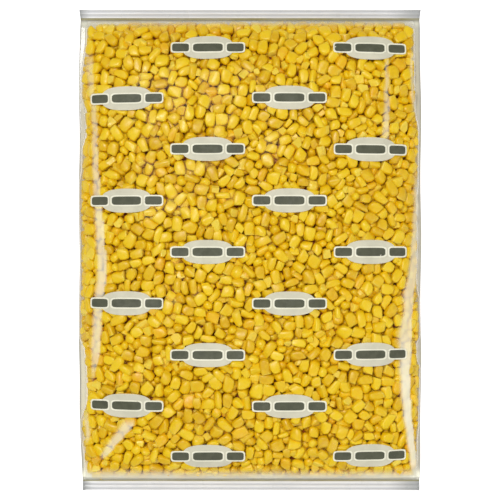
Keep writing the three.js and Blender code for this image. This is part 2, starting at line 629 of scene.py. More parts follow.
    def settle(self) -> None:
        """Runs the rounds."""
        ball_count = self.rest.shape[1]
        radii = np.repeat(self.radius[:, None], ball_count, axis=1)
        owner = np.repeat(np.arange(len(self.centre)), ball_count)
        reach = 2 * self.radius.max() + self.pair_slack
        pairs = None
        for turn in range(self.rounds):
            calm = 1 - turn / self.rounds
            balls = self.balls()
            if turn % self.pair_rounds == 0:
                first, second = close_pairs(balls.reshape(-1, 3), reach)
                other = owner[first] != owner[second]
                pairs = first[other], second[other]
            balls += self.drawn_out()[:, None] * calm
            self.part(balls.reshape(-1, 3), radii.ravel(), *pairs)
            self.keep_in(balls, radii)
            self.fit(balls)
        balls = self.balls()
        self.keep_in(balls, radii)
        self.fit(balls)

    def drawn_out(self) -> np.ndarray:
        """Works out where the kernels are drawn in one round.

        Returns:
            Each kernel's step towards the nearer film, or out of the core if it is in it.
        """
        under, over, up, down = self.film_at(self.centre)
        past_upper = under + self.half[:, 2] - self.upper_shell
        past_lower = over + self.half[:, 2] - self.lower_shell
        out = np.where((past_upper < past_lower)[:, None], up, down)
        deep = np.clip(np.minimum(past_upper, past_lower), 0, self.deepest_return)
        step = self.pull * self.eagerness + self.return_share * deep
        x, y = self.centre[:, 0], self.centre[:, 1]
        aside = np.sign(x) * (self.form.edge_distance(x, y) < self.rim_reach)
        endwards = np.sign(y) * (self.form.mouth - np.abs(y) < self.rim_reach)
        outward = np.stack([aside, endwards, np.zeros_like(x)], axis=1)
        return out * step[:, None] + outward * self.rim_pull

    @staticmethod
    def part(balls: np.ndarray, radii: np.ndarray, first: np.ndarray, second: np.ndarray) -> None:
        """Pushes balls of different kernels apart where they overlap.

        Args:
            balls: One row for each ball, which is changed.
            radii: Each ball's radius.
            first: One ball of each pair.
            second: The other.
        """
        apart = balls[first] - balls[second]
        gap = np.sqrt(np.einsum("ij,ij->i", apart, apart)) + 1e-9
        overlap = radii[first] + radii[second] - gap
        touching = overlap > 0
        first, second = first[touching], second[touching]
        push = apart[touching] * (0.5 * overlap[touching] / gap[touching])[:, None]
        count = len(balls)
        shares = np.bincount(first, minlength=count) + np.bincount(second, minlength=count)
        shares = np.sqrt(np.maximum(shares, 1.0))
        for axis in range(3):
            moved = np.bincount(first, push[:, axis], count) - np.bincount(second, push[:, axis], count)
            balls[:, axis] += moved / shares

    def keep_in(self, balls: np.ndarray, radii: np.ndarray) -> None:
        """Moves balls that stick out of the film back inside it.

        Args:
            balls: Each kernel's balls, which are changed.
            radii: Each ball's radius.
        """
        least = radii + self.gap[:, None]
        for _ in range(2):
            under, over, up, down = self.film_at(balls)
            balls -= up * np.maximum(least - under, 0)[..., None]
            balls -= down * np.maximum(least - over, 0)[..., None]
        x, y = balls[..., 0], balls[..., 1]
        beside = self.form.edge_distance(x, y) - self.form.lip(x, y) - radii
        before = self.form.mouth - self.film_gap - np.abs(y) - radii
        balls[..., 0] += np.sign(x) * np.minimum(beside, 0)
        balls[..., 1] += np.sign(y) * np.minimum(before, 0)

    def fit(self, balls: np.ndarray) -> None:
        """Gives each kernel the place and turn that best fit its moved balls.

        Args:
            balls: Each kernel's balls.
        """
        rest_middle = self.rest.mean(axis=1)
        middle = balls.mean(axis=1)
        spread = np.einsum("nki,nkj->nij", balls - middle[:, None], self.rest - rest_middle[:, None])
        left, _, right = np.linalg.svd(spread)
        handed = np.sign(np.linalg.det(left @ right))
        left[:, :, 2] *= handed[:, None]
        self.turn = left @ right
        self.centre = middle - np.einsum("nij,nj->ni", self.turn, rest_middle)

    def surfaces(self) -> np.ndarray:
        """Puts every kernel's own vertices at its size, turn and place.

        Returns:
            The vertices, one block for each kernel.
        """
        unit_places = np.stack([mould.places for mould in self.moulds])[self.kind, self.variant]
        local = unit_places * self.half[:, None]
        return self.centre[:, None] + np.einsum("nij,nkj->nki", self.turn, local)

    def seat(self) -> None:
        """Moves each kernel whose surface still crosses the film, a side or an end back inside."""
        rows = np.arange(len(self.centre))
        for _ in range(self.seating_rounds):
            points = self.surfaces()
            under, over, up, down = self.film_at(points)
            for depth, normal in ((under, up), (over, down)):
                worst = np.argmin(depth, axis=1)
                push = np.maximum(self.film_gap - depth[rows, worst], 0)
                self.centre -= normal[rows, worst] * push[:, None]
            x, y = points[..., 0], points[..., 1]
            beside = (self.form.edge_distance(x, y) - self.form.lip(x, y)).min(axis=1)
            before = (self.form.mouth - self.film_gap - np.abs(y)).min(axis=1)
            self.centre[:, 0] += np.sign(self.centre[:, 0]) * np.minimum(beside, 0)
            self.centre[:, 1] += np.sign(self.centre[:, 1]) * np.minimum(before, 0)


@dataclass
class Kernels:
    """Builds each kind of kernel as one joined mesh."""

    heap: CornHeap
    material: bpy.types.Material
    seed: int = 90
    cell_margin: float = 0.04
    tip_start: float = 0.35

    def build(self) -> list[bpy.types.Object]:
        """Makes one piece for each kind and returns them."""
        self.surfaces = self.heap.surfaces()
        return [self.joined(number, kind) for number, kind in enumerate(KernelKind)]

    def joined(self, number: int, kind: KernelKind) -> bpy.types.Object:
        """Repeats a kind's mould at each of its places.

        Args:
            number: The kind's place in the heap's list.
            kind: The kind of kernel.

        Returns:
            The joined piece.
        """
        mould = self.heap.moulds[number]
        rng = np.random.default_rng(self.seed + number)
        places = self.surfaces[self.heap.kind == number]
        count, size = places.shape[:2]
        faces = mould.faces[None] + (np.arange(count) * size)[:, None, None]
        mesh = self.mesh_from(kind.piece_name, places.reshape(-1, 3), faces.reshape(-1, 4))
        mesh.polygons.foreach_set("use_smooth", np.tile(~mould.flat, count))
        self.add_skin_map(mesh, mould, count)
        tip = smoothstep(-mould.cube[:, 0], self.tip_start, 1.0)
        add_values(mesh, "cut_end", np.tile(tip, count) * np.repeat(rng.random(count), size))
        for name in ("shade", "warmth"):
            add_values(mesh, name, np.repeat(rng.random(count), size))
        piece = link(kind.piece_name, mesh)
        wear(piece, self.material)
        return piece

    @staticmethod
    def mesh_from(name: str, places: np.ndarray, faces: np.ndarray) -> bpy.types.Mesh:
        """Makes a mesh of quads.

        Args:
            name: The mesh's name.
            places: One row for each vertex.
            faces: The four vertices of each face.

        Returns:
            The mesh.
        """
        mesh = bpy.data.meshes.new(name)
        mesh.vertices.add(len(places))
        mesh.vertices.foreach_set("co", places.astype(np.float32).ravel())
        mesh.loops.add(faces.size)
        mesh.loops.foreach_set("vertex_index", faces.astype(np.int32).ravel())
        mesh.polygons.add(len(faces))
        mesh.polygons.foreach_set("loop_start", np.arange(0, faces.size, 4, dtype=np.int32))
        mesh.update(calc_edges=True)
        return mesh

    def add_skin_map(self, mesh: bpy.types.Mesh, mould: KernelMould, count: int) -> None:
        """Gives each kernel a square of its own on the piece's UV map.

        Args:
            mesh: The joined kernels.
            mould: The mould that they repeat.
            count: How many kernels there are.
        """
        across = math.ceil(math.sqrt(count))
        square = self.cell_margin + (1 - 2 * self.cell_margin) * mould.unfolded()
        corner = np.stack(np.divmod(np.arange(count), across), axis=1)[:, None, None]
        uv = (corner + square[None]) / across
        layer = mesh.uv_layers.new(name=UV_MAP)
        layer.data.foreach_set("uv", uv.astype(np.float32).ravel())


# ---------------------------------------------------------------- finishes

Colour = tuple[float, float, float]
Socket = bpy.types.NodeSocket
Sockets = bpy.types.bpy_prop_collection


def screen(red: float, green: float, blue: float) -> Colour:
    """A colour given as a screen shows it, from 0 to 255, in the linear values that shaders use."""
    shares = (channel / 255 for channel in (red, green, blue))
    return tuple(c / 12.92 if c <= 0.04045 else ((c + 0.055) / 1.055) ** 2.4 for c in shares)


class Nodes:
    """A short way to add and join the nodes of one tree."""

    def __init__(self, tree: bpy.types.NodeTree) -> None:
        """Keeps the tree that the nodes go into."""
        self.tree = tree

    def add(self, kind: str, inputs: dict | None = None, **settings: object) -> bpy.types.Node:
        """Adds one node.

        Args:
            kind: The node's type, without "ShaderNode".
            inputs: A value, a colour or an output socket for each input, by name or number.
            **settings: Other properties of the node.

        Returns:
            The new node.
        """
        node = self.tree.nodes.new(kind if kind.startswith("Node") else "ShaderNode" + kind)
        for name, value in settings.items():
            setattr(node, name, value)
        for key, value in (inputs or {}).items():
            if isinstance(value, bpy.types.NodeSocket):
                self.tree.links.new(value, node.inputs[key])
            elif node.inputs[key].type == "RGBA":
                node.inputs[key].default_value = (*value, 1.0)
            else:
                node.inputs[key].default_value = value
        return node

    def mix(self, share: object, first: object, second: object) -> Socket:
        """Mixes two colours."""
        return self.add("Mix", {0: share, 6: first, 7: second}, data_type="RGBA").outputs[2]

    def mix_shaders(self, share: Socket, first: Socket, second: Socket) -> Socket:
        """Mixes two shaders."""
        return self.add("MixShader", {0: share, 1: first, 2: second}).outputs[0]

    def maths(self, operation: str, *values: object) -> Socket:
        """One step of arithmetic, held between 0 and 1."""
        return self.add("Math", dict(enumerate(values)), operation=operation, use_clamp=True).outputs[0]

    def spread(self, value: Socket, *limits: object, **settings: object) -> Socket:
        """Spreads a value from the first two limits over the next two, or over 0 to 1."""
        return self.add("MapRange", dict(enumerate((value, *limits))), **settings).outputs[0]

    def stored(self, name: str) -> Socket:
        """Reads a value that the mesh stores."""
        return self.add("Attribute", attribute_name=name).outputs["Fac"]

    def noise(self, scale: Socket, detail: float) -> Socket:
        """Makes noise that stays with the piece."""
        place = self.add("TexCoord").outputs["Object"]
        return self.add("TexNoise", {"Vector": place, "Scale": scale, "Detail": detail}).outputs["Fac"]

    def bump(self, height: Socket, strength: float, distance: float) -> Socket:
        """Turns heights into a normal."""
        return self.add("Bump", {"Height": height, "Strength": strength, "Distance": distance}).outputs[0]

    def principled(self, inputs: dict) -> Socket:
        """Makes a principled shader."""
        return self.add("BsdfPrincipled", inputs).outputs[0]

    def surface(self, shader: Socket) -> None:
        """Makes this shader the material's surface."""
        self.add("OutputMaterial", {"Surface": shader})


def new_material(name: str) -> tuple[bpy.types.Material, Nodes]:
    """Starts a material.

    Args:
        name: The material's name.

    Returns:
        The material and its nodes, of which there are none yet.
    """
    material = bpy.data.materials.new(name)
    material.use_nodes = True
    material.node_tree.nodes.clear()
    return material, Nodes(material.node_tree)


def new_group(name: str, takes: dict[str, str], gives: dict[str, str]) -> tuple[Nodes, Sockets]:
    """Starts a shader node group with named sockets.

    Args:
        name: The group's name.
        takes: The type of each input socket.
        gives: The type of each output socket.

    Returns:
        Its nodes and its inputs to read from.
    """
    tree = bpy.data.node_groups.new(name, "ShaderNodeTree")
    for way, sockets in (("INPUT", takes), ("OUTPUT", gives)):
        for socket, kind in sockets.items():
            tree.interface.new_socket(socket, in_out=way, socket_type="NodeSocket" + kind)
    nodes = Nodes(tree)
    return nodes, nodes.add("NodeGroupInput").outputs


class SharedEffects:
    """The effects that several finishes use, each built once."""

    def __init__(self) -> None:
        """Builds both groups."""
        self.mottle = self.make_mottle()
        self.scuff = self.make_scuff()

    @staticmethod
    def make_mottle() -> bpy.types.NodeTree:
        """Builds the group that gives soft patches of a second colour, and their relief.

        Returns:
            The group.
        """
        takes = {"Colour": "Color", "Patch Colour": "Color", "Scale": "Float", "Amount": "Float"}
        nodes, given = new_group("mottle", takes, {"Colour": "Color", "Height": "Float"})
        noise = nodes.noise(given["Scale"], 3.0)
        patch = nodes.spread(noise, 0.35, 0.68, interpolation_type="SMOOTHSTEP")
        share = nodes.maths("MULTIPLY", patch, given["Amount"])
        mixed = nodes.mix(share, given["Colour"], given["Patch Colour"])
        nodes.add("NodeGroupOutput", {"Colour": mixed, "Height": noise})
        return nodes.tree

    @staticmethod
    def make_scuff() -> bpy.types.NodeTree:
        """Builds the group whose roughness wanders between two values, with fine relief.

        Returns:
            The group.
        """
        takes = {"Scale": "Float", "Smooth": "Float", "Rough": "Float"}
        nodes, given = new_group("scuff", takes, {"Roughness": "Float", "Height": "Float"})
        noise = nodes.noise(given["Scale"], 4.0)
        rough = nodes.spread(noise, 0.3, 0.7, given["Smooth"], given["Rough"])
        nodes.add("NodeGroupOutput", {"Roughness": rough, "Height": noise})
        return nodes.tree

    def mottled(self, nodes: Nodes, colour: object, patch: Colour, scale: float, amount: float) -> Sockets:
        """Places the mottle in a material and gives its outputs."""
        inputs = {"Colour": colour, "Patch Colour": patch, "Scale": scale, "Amount": amount}
        return nodes.add("Group", inputs, node_tree=self.mottle).outputs

    def scuffed(self, nodes: Nodes, scale: float, smooth: float, rough: float) -> Sockets:
        """Places the scuff in a material and gives its outputs."""
        inputs = {"Scale": scale, "Smooth": smooth, "Rough": rough}
        return nodes.add("Group", inputs, node_tree=self.scuff).outputs


@dataclass(frozen=True)
class CornFinish:
    """Yellow kernel skin, paler at the cut end, with a soft shine and a little light inside."""

    main: Colour = screen(240, 198, 2)
    bright: Colour = screen(246, 210, 28)
    deep: Colour = screen(222, 173, 0)
    orange: Colour = screen(238, 170, 6)
    pale: Colour = screen(246, 223, 92)
    deep_until: float = 0.5
    bright_from: float = 0.55
    orange_from: float = 0.90
    most_orange: float = 0.7
    most_pale: float = 0.85
    light_inside: float = 0.15
    light_reach: tuple[float, float, float] = (1.0, 0.75, 0.15)
    light_depth: float = 2.0 * MM
    shine: float = 0.45

    def build(self, effects: SharedEffects) -> bpy.types.Material:
        """Makes the material.

        Args:
            effects: The shared groups.

        Returns:
            The material.
        """
        material, nodes = new_material("corn")
        shade = nodes.stored("shade")
        colour = nodes.mix(nodes.spread(shade, 0.0, self.deep_until, 1.0, 0.0), self.main, self.deep)
        colour = nodes.mix(nodes.spread(shade, self.bright_from, 1.0), colour, self.bright)
        warm = nodes.spread(nodes.stored("warmth"), self.orange_from, 1.0, 0.0, self.most_orange)
        colour = nodes.mix(warm, colour, self.orange)
        cut = nodes.maths("MULTIPLY", nodes.stored("cut_end"), self.most_pale)
        colour = nodes.mix(cut, colour, self.pale)
        mottle = effects.mottled(nodes, colour, self.bright, 260.0, 0.4)
        scuff = effects.scuffed(nodes, 500.0, 0.26, 0.48)
        inputs = {
            "Base Color": mottle["Colour"],
            "Roughness": scuff["Roughness"],
            "Normal": nodes.bump(scuff["Height"], 0.2, 0.3 * MM),
            "Subsurface Weight": self.light_inside,
            "Subsurface Radius": self.light_reach,
            "Subsurface Scale": self.light_depth,
            "Specular IOR Level": self.shine,
        }
        nodes.surface(nodes.principled(inputs))
        return material


@dataclass(frozen=True)
class PlainFinish:
    """A mottled surface of one colour, used for the core and the inks."""

    name: str
    colour: Colour
    patch: Colour
    scale: float
    amount: float
    smooth: float = 0.5
    rough: float = 0.7
    relief: float = 0.0
    alpha: float = 1.0

    def build(self, effects: SharedEffects) -> bpy.types.Material:
        """Makes the material.

        Args:
            effects: The shared groups.

        Returns:
            The material.
        """
        material, nodes = new_material(self.name)
        mottle = effects.mottled(nodes, self.colour, self.patch, self.scale, self.amount)
        scuff = effects.scuffed(nodes, self.scale * 3, self.smooth, self.rough)
        inputs = {"Base Color": mottle["Colour"], "Roughness": scuff["Roughness"], "Alpha": self.alpha}
        if self.relief:
            inputs["Normal"] = nodes.bump(mottle["Height"], 0.5, self.relief)
        nodes.surface(nodes.principled(inputs))
        return material


@dataclass(frozen=True)
class FloorFinish:
    """A pale floor that looks evenly lit and gives the bag only part of that light."""

    colour: Colour = screen(170, 170, 170)
    roughness: float = 0.6
    seen_glow: float = 0.95
    given_glow: float = 0.5

    def build(self) -> bpy.types.Material:
        """Makes the material.

        Returns:
            The material.
        """
        material, nodes = new_material("pale_floor")
        seen = nodes.add("LightPath").outputs["Is Camera Ray"]
        glow = nodes.maths("MULTIPLY_ADD", seen, self.seen_glow - self.given_glow, self.given_glow)
        inputs = {"Base Color": self.colour, "Roughness": self.roughness, "Emission Strength": glow}
        nodes.surface(nodes.principled(inputs))
        return material


@dataclass(frozen=True)
class FilmFinish:
    """Clear glossy film that turns cloudy where the mesh says so: partly the real cloudiness of
    the empty film, partly painted highlight along the folds and beside the seals. A second
    stored value paints how bright that cloud looks, from the dull colour to the gleam colour.

    Lamp light and scattered light pass the cloudy places, so that what lies under them
    stays bright, as it does under thin film. A third stored value paints shade on the
    inner side only.
    """

    tint: Colour = (0.985, 0.985, 0.975)
    dull: Colour = screen(174, 171, 158)
    gleam: Colour = screen(255, 253, 230)
    facing_share: float = 0.003
    grazing_power: float = 5.0

    def build(self, effects: SharedEffects) -> bpy.types.Material:
        """Makes the material.

        Args:
            effects: The shared groups.

        Returns:
            The material.
        """
        material, nodes = new_material("clear_film")
        scuff = effects.scuffed(nodes, 90.0, 0.10, 0.22)
        bump = nodes.bump(scuff["Height"], 0.25, 0.3 * MM)
        gloss = nodes.add("BsdfGlossy", {"Roughness": scuff["Roughness"], "Normal": bump}).outputs[0]
        clear = nodes.add("BsdfTransparent", {"Color": self.tint}).outputs[0]
        facing = nodes.add("LayerWeight", {"Blend": 0.5, "Normal": bump}).outputs["Facing"]
        grazing = nodes.maths("POWER", facing, self.grazing_power)
        mirror = nodes.maths("MULTIPLY_ADD", grazing, 1 - self.facing_share, self.facing_share)
        skin = nodes.mix_shaders(mirror, clear, gloss)
        colour = nodes.mix(nodes.stored("gleam"), self.dull, self.gleam)
        cloudy = nodes.principled({"Base Color": colour, "Roughness": scuff["Roughness"]})
        # Painted shade: a grey cloud on the inner side of the film, where the floor would show between
        # kernels.
        inside = nodes.add("NewGeometry").outputs["Backfacing"]
        inner_shade = nodes.maths("MULTIPLY", nodes.stored("inner_shade"), inside)
        haze_and_sheen = nodes.maths("MAXIMUM", nodes.stored("haze_and_sheen"), inner_shade)
        whole = nodes.mix_shaders(haze_and_sheen, skin, cloudy)
        rays = nodes.add("LightPath").outputs
        for ray in ("Is Diffuse Ray", "Is Shadow Ray"):
            whole = nodes.mix_shaders(rays[ray], whole, clear)
        nodes.surface(whole)
        return material


@dataclass(frozen=True)
class SealFinish:
    """Pressed film: pale on the ribs, with painted shade in the valleys that stands for the ribs' relief, and
    olive where the corn begins.
    """

    rib: Colour = screen(241, 242, 243)
    valley_shade: Colour = screen(199, 200, 202)
    end: Colour = screen(140, 142, 138)
    border: Colour = screen(150, 143, 94)
    alpha: float = 0.94

    def build(self, effects: SharedEffects) -> bpy.types.Material:
        """Makes the material.

        Args:
            effects: The shared groups.

        Returns:
            The material.
        """
        material, nodes = new_material("heat_seal")
        # Painted shade: the valleys between the ribs are greyer, in place of the shade their relief would
        # give.
        colour = nodes.mix(nodes.stored("valley_shade"), self.rib, self.valley_shade)
        colour = nodes.mix(nodes.stored("end"), colour, self.end)
        colour = nodes.mix(nodes.stored("border"), colour, self.border)
        mottle = effects.mottled(nodes, colour, self.valley_shade, 40.0, 0.25)
        scuff = effects.scuffed(nodes, 150.0, 0.24, 0.40)
        inputs = {"Base Color": mottle["Colour"], "Roughness": scuff["Roughness"], "Alpha": self.alpha}
        nodes.surface(nodes.principled(inputs))
        return material


# ---------------------------------------------------------------- core


@dataclass
class Core:
    """The hidden middle of the heap, whose bumpy top shows dark between the kernels: its dark orange is
    painted shade for the kernels deeper in the heap.
    """

    form: BagForm
    material: bpy.types.Material
    inset: float = 3.5 * MM
    end_inset: float = 8 * MM
    columns: int = 90
    rows: int = 130
    upper_depth: float = 11.0 * MM
    lower_depth: float = 7.0 * MM
    least_half: float = 0.5 * MM
    bump_height: float = 0.9 * MM
    bump_pitch: float = 9.5 * MM

    def build(self) -> bpy.types.Object:
        """Makes two bumpy sheets inside the kernels and closes them round the edge.

        Returns:
            The piece.
        """
        bm = bmesh.new()
        for side in (1, -1):
            self.add_sheet(bm, side)
        bmesh.ops.bridge_loops(bm, edges=[edge for edge in bm.edges if edge.is_boundary])
        bmesh.ops.recalc_face_normals(bm, faces=bm.faces)
        piece = object_from("corn_core", bm)
        wear(piece, self.material)
        return piece

    def add_sheet(self, bm: bmesh.types.BMesh, side: int) -> None:
        """Adds one of the two sheets.

        Args:
            bm: The core so far.
            side: 1 for the upper sheet and -1 for the lower one.
        """
        verts, across, along = add_grid(bm, self.columns, self.rows)
        y = along * (self.form.mouth - self.end_inset)
        left = self.form.left(y) + self.form.lip(-np.ones_like(y), y) + self.inset
        right = self.form.right(y) - self.form.lip(np.ones_like(y), y) - self.inset
        x = left + (across + 1) / 2 * (right - left)
        upper = self.form.sample(self.form.upper, x, y) - self.upper_depth
        lower = self.form.sample(self.form.lower, x, y) + self.lower_depth
        middle = (upper + lower) / 2
        outer = np.maximum(upper, middle + self.least_half)
        if side < 0:
            outer = np.minimum(lower, middle - self.least_half)
        bumps = np.sin(2 * math.pi * x / self.bump_pitch) * np.sin(2 * math.pi * y / self.bump_pitch)
        thick = np.abs(outer - middle) > 2 * self.least_half
        put(verts, x, y, outer + side * self.bump_height * bumps * thick)


# ---------------------------------------------------------------- film


@dataclass(frozen=True)
class Fold:
    """A long soft fold in the film beside one edge of the bag.

    Each station gives a place along Y, the crest's distance from the edge, the fold's width
    and the strength of the painted highlight along it there, the first three in millimetres.
    That painted highlight stands for the lamps' reflection in the fold.
    """

    side: int
    stations: tuple[tuple[float, float, float, float], ...]
    far_side: float = 0.8 * MM
    waver: float = 0.3 * MM
    waver_lengths: tuple[float, float] = (3.1, 9.7)

    def along(self, y: np.ndarray) -> tuple[np.ndarray, np.ndarray, np.ndarray]:
        """Reads the stations.

        Args:
            y: Places along the bag.

        Returns:
            The crest's distance from the edge, the width and the painted highlight's strength there.
        """
        rows = np.array(sorted(self.stations)).T
        inset, width, white = (np.interp(y, rows[0] * MM, row) for row in rows[1:])
        ends = (y > rows[0][0] * MM) & (y < rows[0][-1] * MM)
        return inset * MM, width * MM, white * ends

    def profile(self, form: BagForm, x: np.ndarray, y: np.ndarray) -> np.ndarray:
        """Works out the fold's painted highlight, which rises slowly along X and falls at once.

        Args:
            form: The bag's form.
            x: X of each place.
            y: Y of each place.

        Returns:
            The painted highlight's strength at each place.
        """
        inset, width, white = self.along(y)
        crest = np.where(self.side > 0, form.right(y) - inset, form.left(y) + inset)
        for length in self.waver_lengths:
            crest = crest + self.waver * np.sin(y / (length * MM) + length)
        rise = smoothstep(x - crest + width, 0.0, 0.5 * width + 0.01 * MM)
        return white * rise * (1 - smoothstep(x - crest, 0.0, self.far_side))


@dataclass
class Film:
    """The tube of film: an upper and a lower sheet laid over the kernels and joined at the edges.

    Of the pairs for the band and the line beside the seals and for the lips' painted light, the
    first is for the top end and the second for the bottom end. Its blurs, rises, edges and the
    pairs of the painted inner shade run from a start to a stop.
    """

    form: BagForm
    kernels: list[bpy.types.Object]
    material: bpy.types.Material
    columns: int = 150
    rows: int = 200
    lip_columns: int = 6
    crowding: float = 0.6
    wall: float = 0.9 * MM
    lip_gap: float = 0.12 * MM
    clearance: float = 0.34 * MM
    lift: float = 0.45 * MM
    sag: float = 0.02 * MM
    most_sunk: float = 1.6 * MM
    most_raised: float = 1.2 * MM
    rounds: int = 60
    smoothing_rounds: int = 2
    smoothing_slack: float = 0.1 * MM
    end_reach: float = 2.5 * MM
    fold_height: float = 0.3 * MM
    lip_haze: float = 0.85
    lip_blur: tuple[float, float] = (0.3 * MM, 0.6 * MM)
    flat_rise: tuple[float, float] = (1.0 * MM, 3.5 * MM)
    # Painted highlight in a pale, patchy band beside each seal.
    band_sheen: tuple[float, float] = (0.38, 0.60)
    band_patches: tuple[float, float] = (0.25, 0.30)
    band_start: float = 1.5 * MM
    band_stop: tuple[float, float] = (8.0 * MM, 12.5 * MM)
    band_stop_below: float = 4.0 * MM
    band_gleam: tuple[float, float] = (0.7, 1.6)
    line_start: tuple[float, float] = (1.0 * MM, 2.2 * MM)
    line_stop: tuple[float, float] = (2.9 * MM, 3.2 * MM)
    line_haze: float = 0.8
    # Painted highlight along the folds: how strongly it clouds the film.
    streak_sheen: float = 0.8
    most_haze: float = 0.92
    # Painted light: how bright the cloudy lips look, on the left at each end and on the right.
    left_gleam: tuple[float, float] = (0.35, 0.6)
    right_gleam: float = 0.2
    streak_gleam: float = 2.0
    gleam_edge: tuple[float, float] = (0.6 * MM, 2.0 * MM)
    # Painted shade on the lower sheet's inner side, near the edges and the ends.
    inner_shade: float = 0.88
    inner_shade_beside: tuple[float, float] = (5.0 * MM, 9.0 * MM)
    inner_shade_before: tuple[float, float] = (8.0 * MM, 11.0 * MM)
    # Folds in the film, each with a painted highlight along it.
    folds: tuple[Fold, ...] = (
        Fold(-1, (
            (156, 10, 6, 0.0), (146, 12, 7, 0.36), (116, 14, 5, 0.34), (78, 16, 5.5, 0.5),
            (48, 17.8, 6.5, 0.56), (22, 21, 8.2, 0.64), (-14, 22.6, 8.6, 0.68), (-55, 19.4, 8, 0.66),
            (-77, 17.8, 9, 0.64), (-93, 14.4, 4.5, 0.4), (-104, 12, 3, 0.0),
        )),
        Fold(-1, ((-126, 7, 3, 0.0), (-134, 7.5, 4, 0.5), (-146, 8, 4, 0.5), (-153, 6, 2, 0.0))),
        Fold(-1, ((-130, 45, 10, 0.0), (-136, 43, 12, 0.66), (-160, 22, 7, 0.6), (-164, 18, 3, 0.0))),
        Fold(1, ((156, 27, 1.5, 0.0), (147, 27, 2, 0.4), (90, 28, 6.5, 0.5), (82, 28, 6, 0.0))),
        Fold(1, ((160, 7, 2, 0.0), (150, 7, 2.5, 0.45), (115, 6.5, 2.5, 0.45), (105, 6, 2, 0.0))),
        Fold(1, (
            (66, 2.5, 4, 0.0), (50, 2.6, 5, 0.45), (17, 3.6, 5.5, 0.5), (0, 4.6, 6.5, 0.56),
            (-16, 4.4, 8.5, 0.62), (-35, 6.6, 11, 0.62), (-50, 7.6, 9, 0.66), (-65, 9, 14, 0.68),
            (-94, 10.8, 10, 0.9), (-132, 8.2, 8, 1.0), (-168, 3.5, 6, 0.9), (-178, 2.5, 4, 0.0),
        )),
    )

    def __post_init__(self) -> None:
        """Lays both sheets over the kernels."""
        self.grain = np.concatenate([points_of(piece.data) for piece in self.kernels])
        self.upper = self.laid(self.form.upper, 1)
        self.lower = np.maximum(self.laid(self.form.lower, -1), self.lift)

    def laid(self, surface: np.ndarray, side: int) -> np.ndarray:
        """Tightens one sheet over the kernels.

        Args:
            surface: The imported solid's surface on that side.
            side: 1 for the upper sheet and -1 for the lower one.

        Returns:
            The sheet's heights.
        """
        form, grain = self.form, self.grain
        i, j = (
            np.clip(np.rint((grain[:, axis] - marks[0]) / form.cell).astype(int), 0, len(marks) - 1)
            for axis, marks in enumerate((form.xs, form.ys))
        )
        tops = np.full(surface.shape, -1.0)
        np.maximum.at(tops, (j, i), side * grain[:, 2])
        tops += self.clearance
        held = side * surface
        sheet = held.copy()
        for _ in range(self.rounds):
            sheet = np.maximum(self.evened(sheet) - self.sag, tops)
            sheet = np.clip(sheet, held - self.most_sunk, held + self.most_raised)
        for _ in range(self.smoothing_rounds):
            sheet = np.maximum((sheet + self.evened(sheet)) / 2, tops - self.smoothing_slack)
        return side * sheet

    @staticmethod
    def evened(sheet: np.ndarray) -> np.ndarray:
        """Each height replaced by the mean of its four neighbours."""
        across = np.roll(sheet, 1, 0) + np.roll(sheet, -1, 0)
        return (across + np.roll(sheet, 1, 1) + np.roll(sheet, -1, 1)) / 4

    def height(self, x: np.ndarray, y: np.ndarray, side: int) -> np.ndarray:
        """Works out how high a sheet is, with its folds.

        Args:
            x: X of each place.
            y: Y of each place.
            side: 1 for the upper sheet and -1 for the lower one.

        Returns:
            The sheet's height at each place.
        """
        sheet = self.upper if side > 0 else self.lower
        z = self.form.sample(sheet, x, y)
        if side > 0:
            z = z + self.fold_height * sum(fold.profile(self.form, x, y) for fold in self.folds)
        crease = self.form.crease(y)
        edge = self.form.edge_distance(x, y)
        past_lip = edge - self.lip_width(x, y)
        near_side = np.sqrt(np.clip(past_lip / self.wall, 0, 1))
        near_end = smoothstep(self.form.mouth - np.abs(y), 0.0, self.end_reach)
        flat = side * self.lip_gap * np.clip(edge / self.wall, 0, 1) * (1 - near_side)
        return crease + ((z - crease) * near_side + flat) * near_end

    def lip_width(self, x: np.ndarray, y: np.ndarray) -> np.ndarray:
        """Width of the flat part of the lip, where the two sheets lie together."""
        return np.maximum(self.form.lip(x, y) - self.wall, 0.1 * MM)

    def build(self) -> bpy.types.Object:
        """Makes the closed tube, with its cloudy places, painted highlights and painted shade stored on it.

        Returns:
            The piece.
        """
        bm = bmesh.new()
        bm.loops.layers.uv.new(UV_MAP)
        for side in (1, -1):
            self.add_sheet(bm, side)
        bmesh.ops.remove_doubles(bm, verts=bm.verts, dist=0.01 * MM)
        piece = object_from("film", bm)
        self.store_haze_and_sheen(piece.data)
        wear(piece, self.material)
        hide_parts(NODE)
        return piece

    def add_sheet(self, bm: bmesh.types.BMesh, side: int) -> None:
        """Adds one of the two sheets, each on its half of the UV map.

        Args:
            bm: The tube so far.
            side: 1 for the upper sheet and -1 for the lower one.
        """
        verts, across, along = add_grid(bm, self.columns, self.rows)
        layer = bm.loops.layers.uv.active
        for vertex, u, v in zip(verts, across, along):
            for loop in vertex.link_loops:
                loop[layer].uv = (0.25 * (u * 0.98 + 2 - side), 0.5 * (v * 0.98 + 1))
        y = self.crowded(along) * self.form.mouth
        half = np.where(across < 0, -self.form.left(y), self.form.right(y))
        lip = self.lip_width(across, y)
        lip_share = 2 * self.lip_columns / self.columns
        from_edge = (1 - np.abs(across)) / lip_share
        filled = self.crowded(np.minimum(np.abs(across) / (1 - lip_share), 1)) * (half - lip)
        x = np.sign(across) * np.where(from_edge < 1, half - lip * from_edge, filled)
        put(verts, x, y, self.height(x, y, side))
        if side < 0:
            turn_over(bm, verts)

    def crowded(self, share: np.ndarray) -> np.ndarray:
        """Moves places between -1 and 1 towards the ends."""
        return share + self.crowding * (np.sin(share * math.pi / 2) - share)

